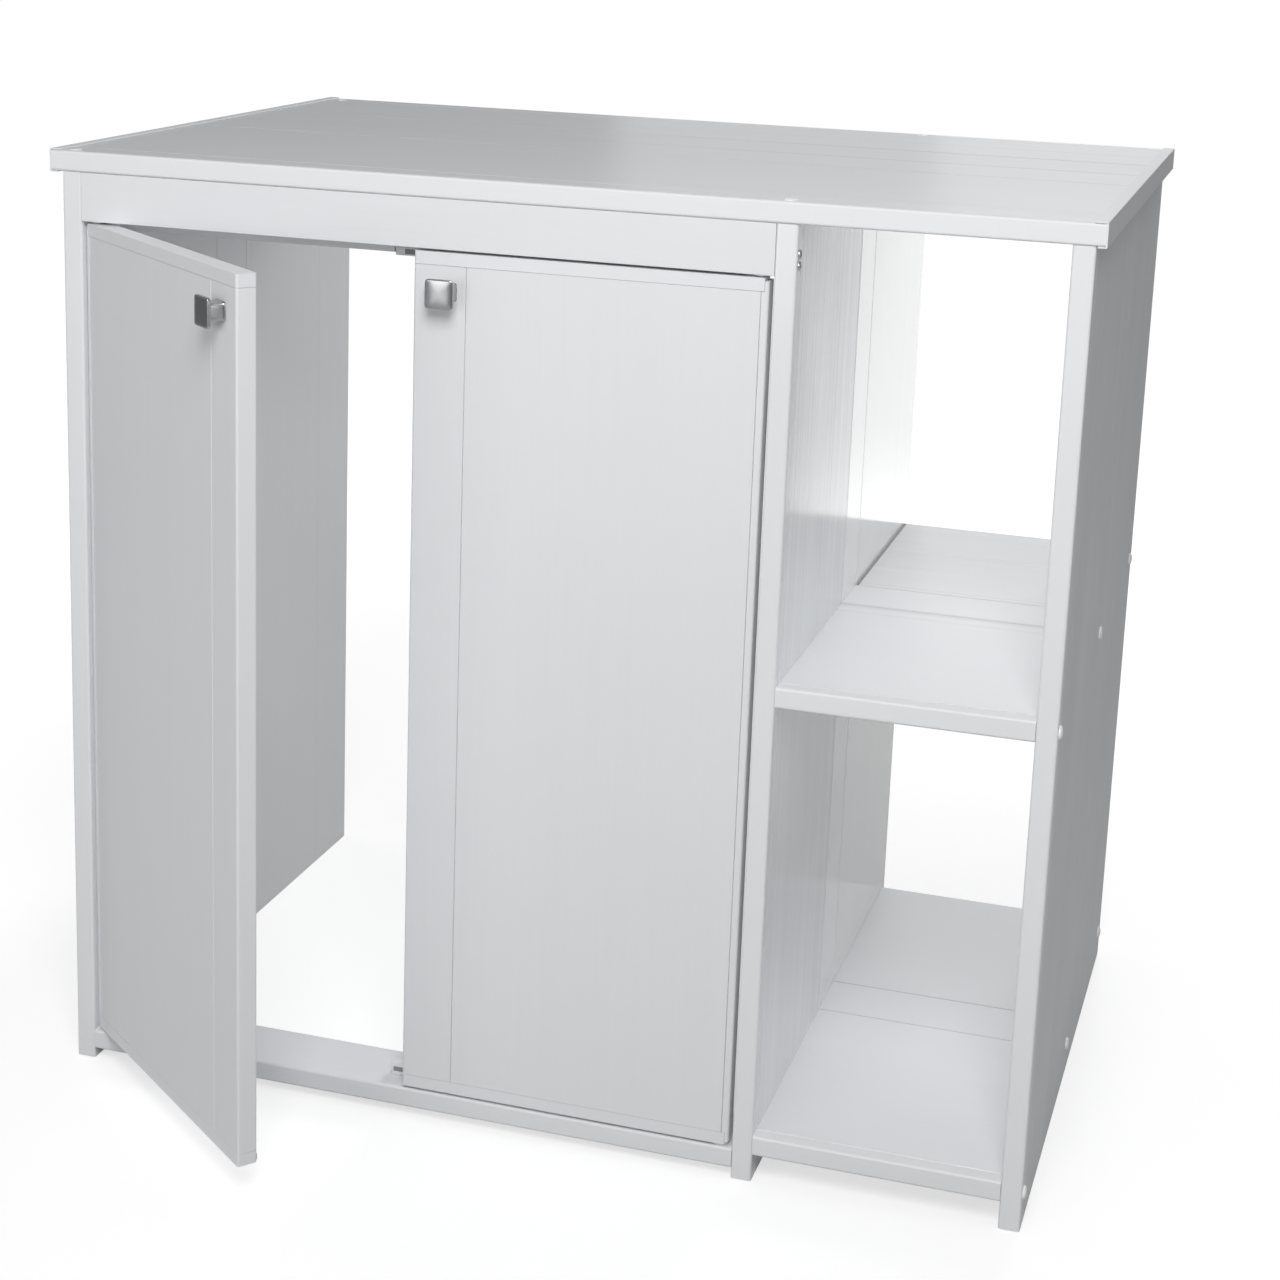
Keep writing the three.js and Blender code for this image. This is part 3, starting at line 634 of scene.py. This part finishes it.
def makeCoverCaps():
    low = coverCapShape(coverCap["worktopHeight"])
    high = coverCapShape(coverCap["height"])
    top = layout["panelHeight"] + layout["boardThickness"]
    rightFace = layout["rightPanelX"] + layout["boardThickness"]
    sets = {
        "worktop_cover_caps": [(stand(x, y, top, upward, inward), low)
                               for x, y in coverCap["worktopPlaces"]],
        "right_panel_cover_caps": [(stand(rightFace, y, z, rightward), high)
                                   for y, z in coverCap["rightPanelPlaces"]],
        "partition_cover_caps": [(stand(layout["partitionX"], y, z, (-1, 0, 0)), high)
                                 for y, z in coverCap["partitionPlaces"]],
    }
    for name, shapes in sets.items():
        makePiece(name, shapes, "coverCap", "carcass")


# Pan-head screws through the left panel and the partition into the ends of the rails

railScrew = {
    "headRadius": 4.3,
    "headHeight": 2.3,
    "recessWidth": 1.1,
    "recessLength": 4.6,
    "recessDepth": 1.3,
    "recessEasing": (0.3, 0.1, 0.4, 0.3),
    "recessFrom": 0.8,
    "rim": [(-0.15, 0.05), (0, 0.2), (0, 0.7)],
    "rimHeight": 0.7,
    "domeShares": (0.97, 0.92, 0.86, 0.78, 0.7, 0.63, 0.56, 0.49, 0.42, 0.35, 0.28, 0.21, 0.14, 0.07),
    "domePower": 2.2,
    "neck": (0.05, -0.4),
    "threadRadius": 1.95,
    "coreRadius": 1.45,
    "tipRadius": 0.3,
    "length": 34.0,
    "pitch": 1.6,
    "crest": (0.45, 0.55),
    "steps": 48,
    "places": [(8, 881.5), (8, 891.5), (24, 20), (56, 20)],
}


def threadRings():
    core, radius, pitch = railScrew["coreRadius"], railScrew["threadRadius"], railScrew["pitch"]
    height, tip = railScrew["neck"][1], -railScrew["length"]
    rings = []
    while height > tip + 2 * pitch:
        rings += [(core, height)] + [(radius, height - pitch * share) for share in railScrew["crest"]]
        height -= pitch
    return rings + [(core, tip + pitch), (railScrew["tipRadius"], tip)]


# How deep the cross recess is at a place on the head
def crossDrop(x, y):
    narrow, wide = sorted((abs(x), abs(y)))
    halfWidth, halfLength = railScrew["recessWidth"] / 2, railScrew["recessLength"] / 2
    beside, within, beyond, before = railScrew["recessEasing"]
    arm = eased(narrow, halfWidth + beside, halfWidth - within)
    reach = eased(wide, halfLength + beyond, halfLength - before)
    return railScrew["recessDepth"] * arm * reach


def railScrewShape():
    radius, rimHeight = railScrew["headRadius"], railScrew["rimHeight"]
    outline = threadRings()[::-1] + [(railScrew["threadRadius"], railScrew["neck"][0])]
    outline += [(radius + out, up) for out, up in railScrew["rim"]]
    outline += domed(
        radius, rimHeight, railScrew["headHeight"], railScrew["domeShares"], railScrew["domePower"])
    points, faces = turned(outline, railScrew["steps"])
    return [(x, y, z - crossDrop(x, y) if z > railScrew["recessFrom"] else z) for x, y, z in points], faces


def makeRailScrews():
    shape = railScrewShape()
    partitionFace = layout["partitionX"] + layout["boardThickness"]
    for side, x, facing in (("left", 0, (-1, 0, 0)), ("right", partitionFace, rightward)):
        shapes = [(stand(x, y, z, facing), shape) for y, z in railScrew["places"]]
        makePiece(side + "_rail_screws", shapes, "zinc", "carcass")


# Square knobs with a crowned front plate on a flared stem

knob = {
    "size": 27.5,
    "projection": 19.6,
    "plateThickness": 5.2,
    "crown": 0.9,
    "stemWidth": 19.5,
    "stemHeight": 16.8,
    "footWidth": 22.0,
    "footHeight": 18.2,
    "footLength": 2.6,
    "stemShort": 0.5,
    "footFlare": ((0, 1), (0.12, 0.8), (0.3, 0.45), (0.55, 0.15), (1, 0)),
    "backProfile": ((0.78, -0.1), (0.93, 0.15), (0.985, 0.7), (1.0, 1.4)),
    "frontProfile": ((1.0, 1.9), (0.992, 1.3), (0.97, 0.72), (0.94, 0.45), (0.88, 0.3), (0.75, 0.15),
                     (0.55, 0.06), (0.3, 0.02), (0.1, 0.0)),
    "crownStart": (1.9, 0.3),
    "squareness": 9.0,
    "stemSquareness": 7,
    "doorGap": 0.3,
    "edgeInset": 31.5,
    "topInset": 36.0,
    "meeting": (358.5, 361.5),
    "doorFront": 0.4,
}


# A square with rounded corners, bowed across its width by the crown
def squareRing(width, depth, height, squareness, crown=0.0, steps=96):
    ring = []
    for k in range(steps):
        a = 2 * math.pi * (k + 0.5) / steps
        c, s = math.cos(a), math.sin(a)
        x = width / 2 * math.copysign(abs(c) ** (2 / squareness), c)
        y = depth / 2 * math.copysign(abs(s) ** (2 / squareness), s)
        ring.append((x, y, height - crown * (2 * x / knob["size"]) ** 2))
    return ring


def knobShape():
    front, size = knob["projection"], knob["size"]
    square, stemSquare = knob["squareness"], knob["stemSquareness"]
    back = front - knob["plateThickness"]
    rings = []
    for share, flare in knob["footFlare"]:
        width = knob["stemWidth"] + flare * (knob["footWidth"] - knob["stemWidth"])
        depth = knob["stemHeight"] + flare * (knob["footHeight"] - knob["stemHeight"])
        rings.append(squareRing(width, depth, knob["footLength"] * share, stemSquare))
    rings.append(squareRing(knob["stemWidth"], knob["stemHeight"], back - knob["stemShort"], stemSquare))
    for share, rise in knob["backProfile"]:
        rings.append(squareRing(size * share, size * share, back + rise, square))
    for share, drop in knob["frontProfile"]:
        crown = knob["crown"] * eased(drop, *knob["crownStart"])
        rings.append(squareRing(size * share, size * share, front - drop, square, crown))
    return lofted(rings)


def makeKnobs():
    shape = knobShape()
    left, right = knob["meeting"]
    front = knob["doorFront"] - knob["doorGap"]
    for side, x in (("left", left - knob["edgeInset"]), ("right", right + knob["edgeInset"])):
        matrix = swung(side) @ stand(x, front, layout["doorTop"] - knob["topInset"], (0, -1, 0))
        piece = makePiece(side + "_knob", [(matrix, shape)], "chrome", side + "_door", 50)
        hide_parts(side + "_door_knob")


# Bevelled blocks: the catches on the rails and their bar magnets

catch = {
    "noseDrop": 1.5,
    "bevel": 1.1,
    "widthPerBevel": 2.4,
    "cornerShrink": 0.6,
    "leastCorner": 0.02,
    "nose": ((334, 22.4, -8), (386, 38.2, 0)),
    "plate": ((334, 35.2, -5), (386, 38.2, 22)),
    "ribs": [((x, 30, -1), (x + 2.2, 36, 17)) for x in (337, 358.9, 380.8)],
    "bottomBlock": ((341, 22.4, -7), (379, 38.2, 7)),
    "bottomLevel": 37,
    "magnet": ((343.5, 22.2, -2.5), (376.5, 25.2, 2.5)),
    "magnetDrop": 4,
    "magnetBevel": 0.35,
}


# A block with rounded edges between two opposite corners, lifted to a level
def blockShape(low, high, level, bevel, steps=6, rows=5):
    (x0, y0, z0), (x1, y1, z1) = low, high

    def ring(inset, height):
        corner = max(catch["leastCorner"], bevel - inset * catch["cornerShrink"])
        points = []
        for cornerX, inX, cornerY, inY, turn in ((x1, -1, y1, -1, 0), (x0, 1, y1, -1, 90),
                                                 (x0, 1, y0, 1, 180), (x1, -1, y0, 1, 270)):
            for k in range(steps + 1):
                a = math.radians(turn + 90 * k / steps)
                points.append((cornerX + inX * (corner + inset) + corner * math.cos(a),
                               cornerY + inY * (corner + inset) + corner * math.sin(a), level + height))
        return points

    angles = [math.radians(90 * k / (rows - 1)) for k in range(rows)]
    lower = [ring(bevel * (1 - math.sin(a)), z0 + bevel * (1 - math.cos(a))) for a in angles]
    upper = [ring(bevel * (1 - math.sin(a)), z1 - bevel * (1 - math.cos(a))) for a in angles[::-1]]
    return lofted(lower + upper)


def makeCatches():
    millimetres = Matrix.Translation(place(0, 0, 0)) @ Matrix.Scale(0.001, 4)
    noseTop = layout["doorTop"] - catch["noseDrop"]
    bottom = catch["bottomLevel"]
    catches = {
        "top": ([catch["nose"], catch["plate"]] + catch["ribs"], noseTop, noseTop - catch["magnetDrop"]),
        "bottom": ([catch["bottomBlock"]], bottom, bottom),
    }
    for name, (blocks, level, magnetLevel) in catches.items():
        shapes = []
        for low, high in blocks:
            bevel = min(catch["bevel"], (high[0] - low[0]) / catch["widthPerBevel"])
            shapes.append((millimetres, blockShape(low, high, level, bevel)))
        piece = makePiece(name + "_catch_body", shapes, "moulded", "carcass")
        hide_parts(name + "_catch")
        magnet = blockShape(*catch["magnet"], magnetLevel, catch["magnetBevel"])
        piece = makePiece(name + "_magnet_bar", [(millimetres, magnet)], "ferrite", "carcass")
        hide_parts(name + "_magnet")


for makePieces in (makeCoverCaps, makeRailScrews, makeKnobs, makeCatches):
    makePieces()
    print("made by", makePieces.__name__)


# Floor, world and lamps

# The glow is how bright the floor looks to the camera near the cabinet and far from it, and the
# mirrored values are how bright it looks in glossy surfaces.
studio = {
    "floorSize": 60.0,
    "floorDrop": 0.0005,
    "floorColour": (0.45, 0.45, 0.45, 1.0),
    "nearGlow": 0.64,
    "farGlow": 0.9,
    "glowReach": (0.8, 3.0),
    "nearMirrored": 0.2,
    "farMirrored": 0.03,
    "ambient": 0.24,
}

# Each lamp's place, the place that it faces, its width, height and power, and whether it shows in
# glossy surfaces
lamps = {
    "key": ((0.55, -2.0, 2.3), (0.0, 0.0, 0.6), 1.0, 1.2, 40.0, True),
    "left fill": ((-1.4, -3.1, 1.05), (0.0, 0.0, 0.6), 2.0, 1.6, 19.0, True),
    "right fill": ((2.3, -1.1, 0.9), (0.0, 0.0, 0.6), 1.0, 1.0, 3.4, True),
    "left rear fill": ((-2.4, 0.9, 0.5), (0.0, 0.3, 0.5), 1.6, 0.7, 16.0, False),
    "back": ((0.55, 2.4, 1.7), (0.1, 0.0, 0.6), 0.9, 1.0, 25.0, False),
    "back wall": ((0.085, 1.3, 1.05), (0.085, 0.0, 1.05), 0.97, 1.7, 2.8, True),
    "back wall right": ((0.33, 1.32, 1.05), (0.33, 0.0, 1.05), 0.48, 1.7, 1.4, True),
}


def makeFloor():
    half = studio["floorSize"] / 2
    data = bpy.data.meshes.new("floor")
    corners = [(-half, -half, 0), (half, -half, 0), (half, half, 0), (-half, half, 0)]
    data.from_pydata(corners, [], [(0, 1, 2, 3)])
    floor = bpy.data.objects.new("floor", data)
    bpy.context.scene.collection.objects.link(floor)
    floor.location.z = -studio["floorDrop"]
    paint = Paint("floor")
    path = paint.node("ShaderNodeLightPath")
    seen = paint.seen(path)
    mirrored = paint.wire(path, "Is Glossy Ray")
    point = paint.point()
    away = paint.wire(paint.node("ShaderNodeVectorMath", {"operation": "LENGTH"}, point), "Value")
    reach = studio["glowReach"]
    glow = seen * paint.range(away, *reach, studio["nearGlow"], studio["farGlow"])
    faint = mirrored * paint.range(away, *reach, studio["nearMirrored"], studio["farMirrored"])
    diffuse = paint.wire(paint.node("ShaderNodeBsdfDiffuse", None, Color=studio["floorColour"]))
    emission = paint.wire(paint.node("ShaderNodeEmission", None, Strength=glow + faint))
    both = paint.wire(paint.node("ShaderNodeAddShader", None, diffuse, emission))
    paint.node("ShaderNodeOutputMaterial", None, both)
    data.materials.append(paint.material)


def makeWorld():
    world = bpy.data.worlds.new("studio")
    world.use_nodes = True
    bpy.context.scene.world = world
    paint = Paint("studio", world.node_tree)
    path = paint.node("ShaderNodeLightPath")
    seen = paint.seen(path)
    strength = seen * (1 - studio["ambient"]) + studio["ambient"]
    sky = paint.wire(paint.node("ShaderNodeBackground", None, (1, 1, 1, 1), strength))
    paint.node("ShaderNodeOutputWorld", None, sky)


def makeLamps():
    for name, (position, target, width, height, power, mirrored) in lamps.items():
        data = bpy.data.lights.new(name, "AREA")
        data.shape = "RECTANGLE"
        data.size = width
        data.size_y = height
        data.energy = power
        lamp = bpy.data.objects.new(name, data)
        bpy.context.scene.collection.objects.link(lamp)
        lamp.location = position
        aim = Vector(target) - Vector(position)
        lamp.rotation_euler = aim.to_track_quat("-Z", "Y").to_euler()
        lamp.visible_camera = False
        lamp.visible_glossy = mirrored


makeFloor()
makeWorld()
makeLamps()
bpy.context.scene.view_settings.view_transform = "Standard"
print("studio made")
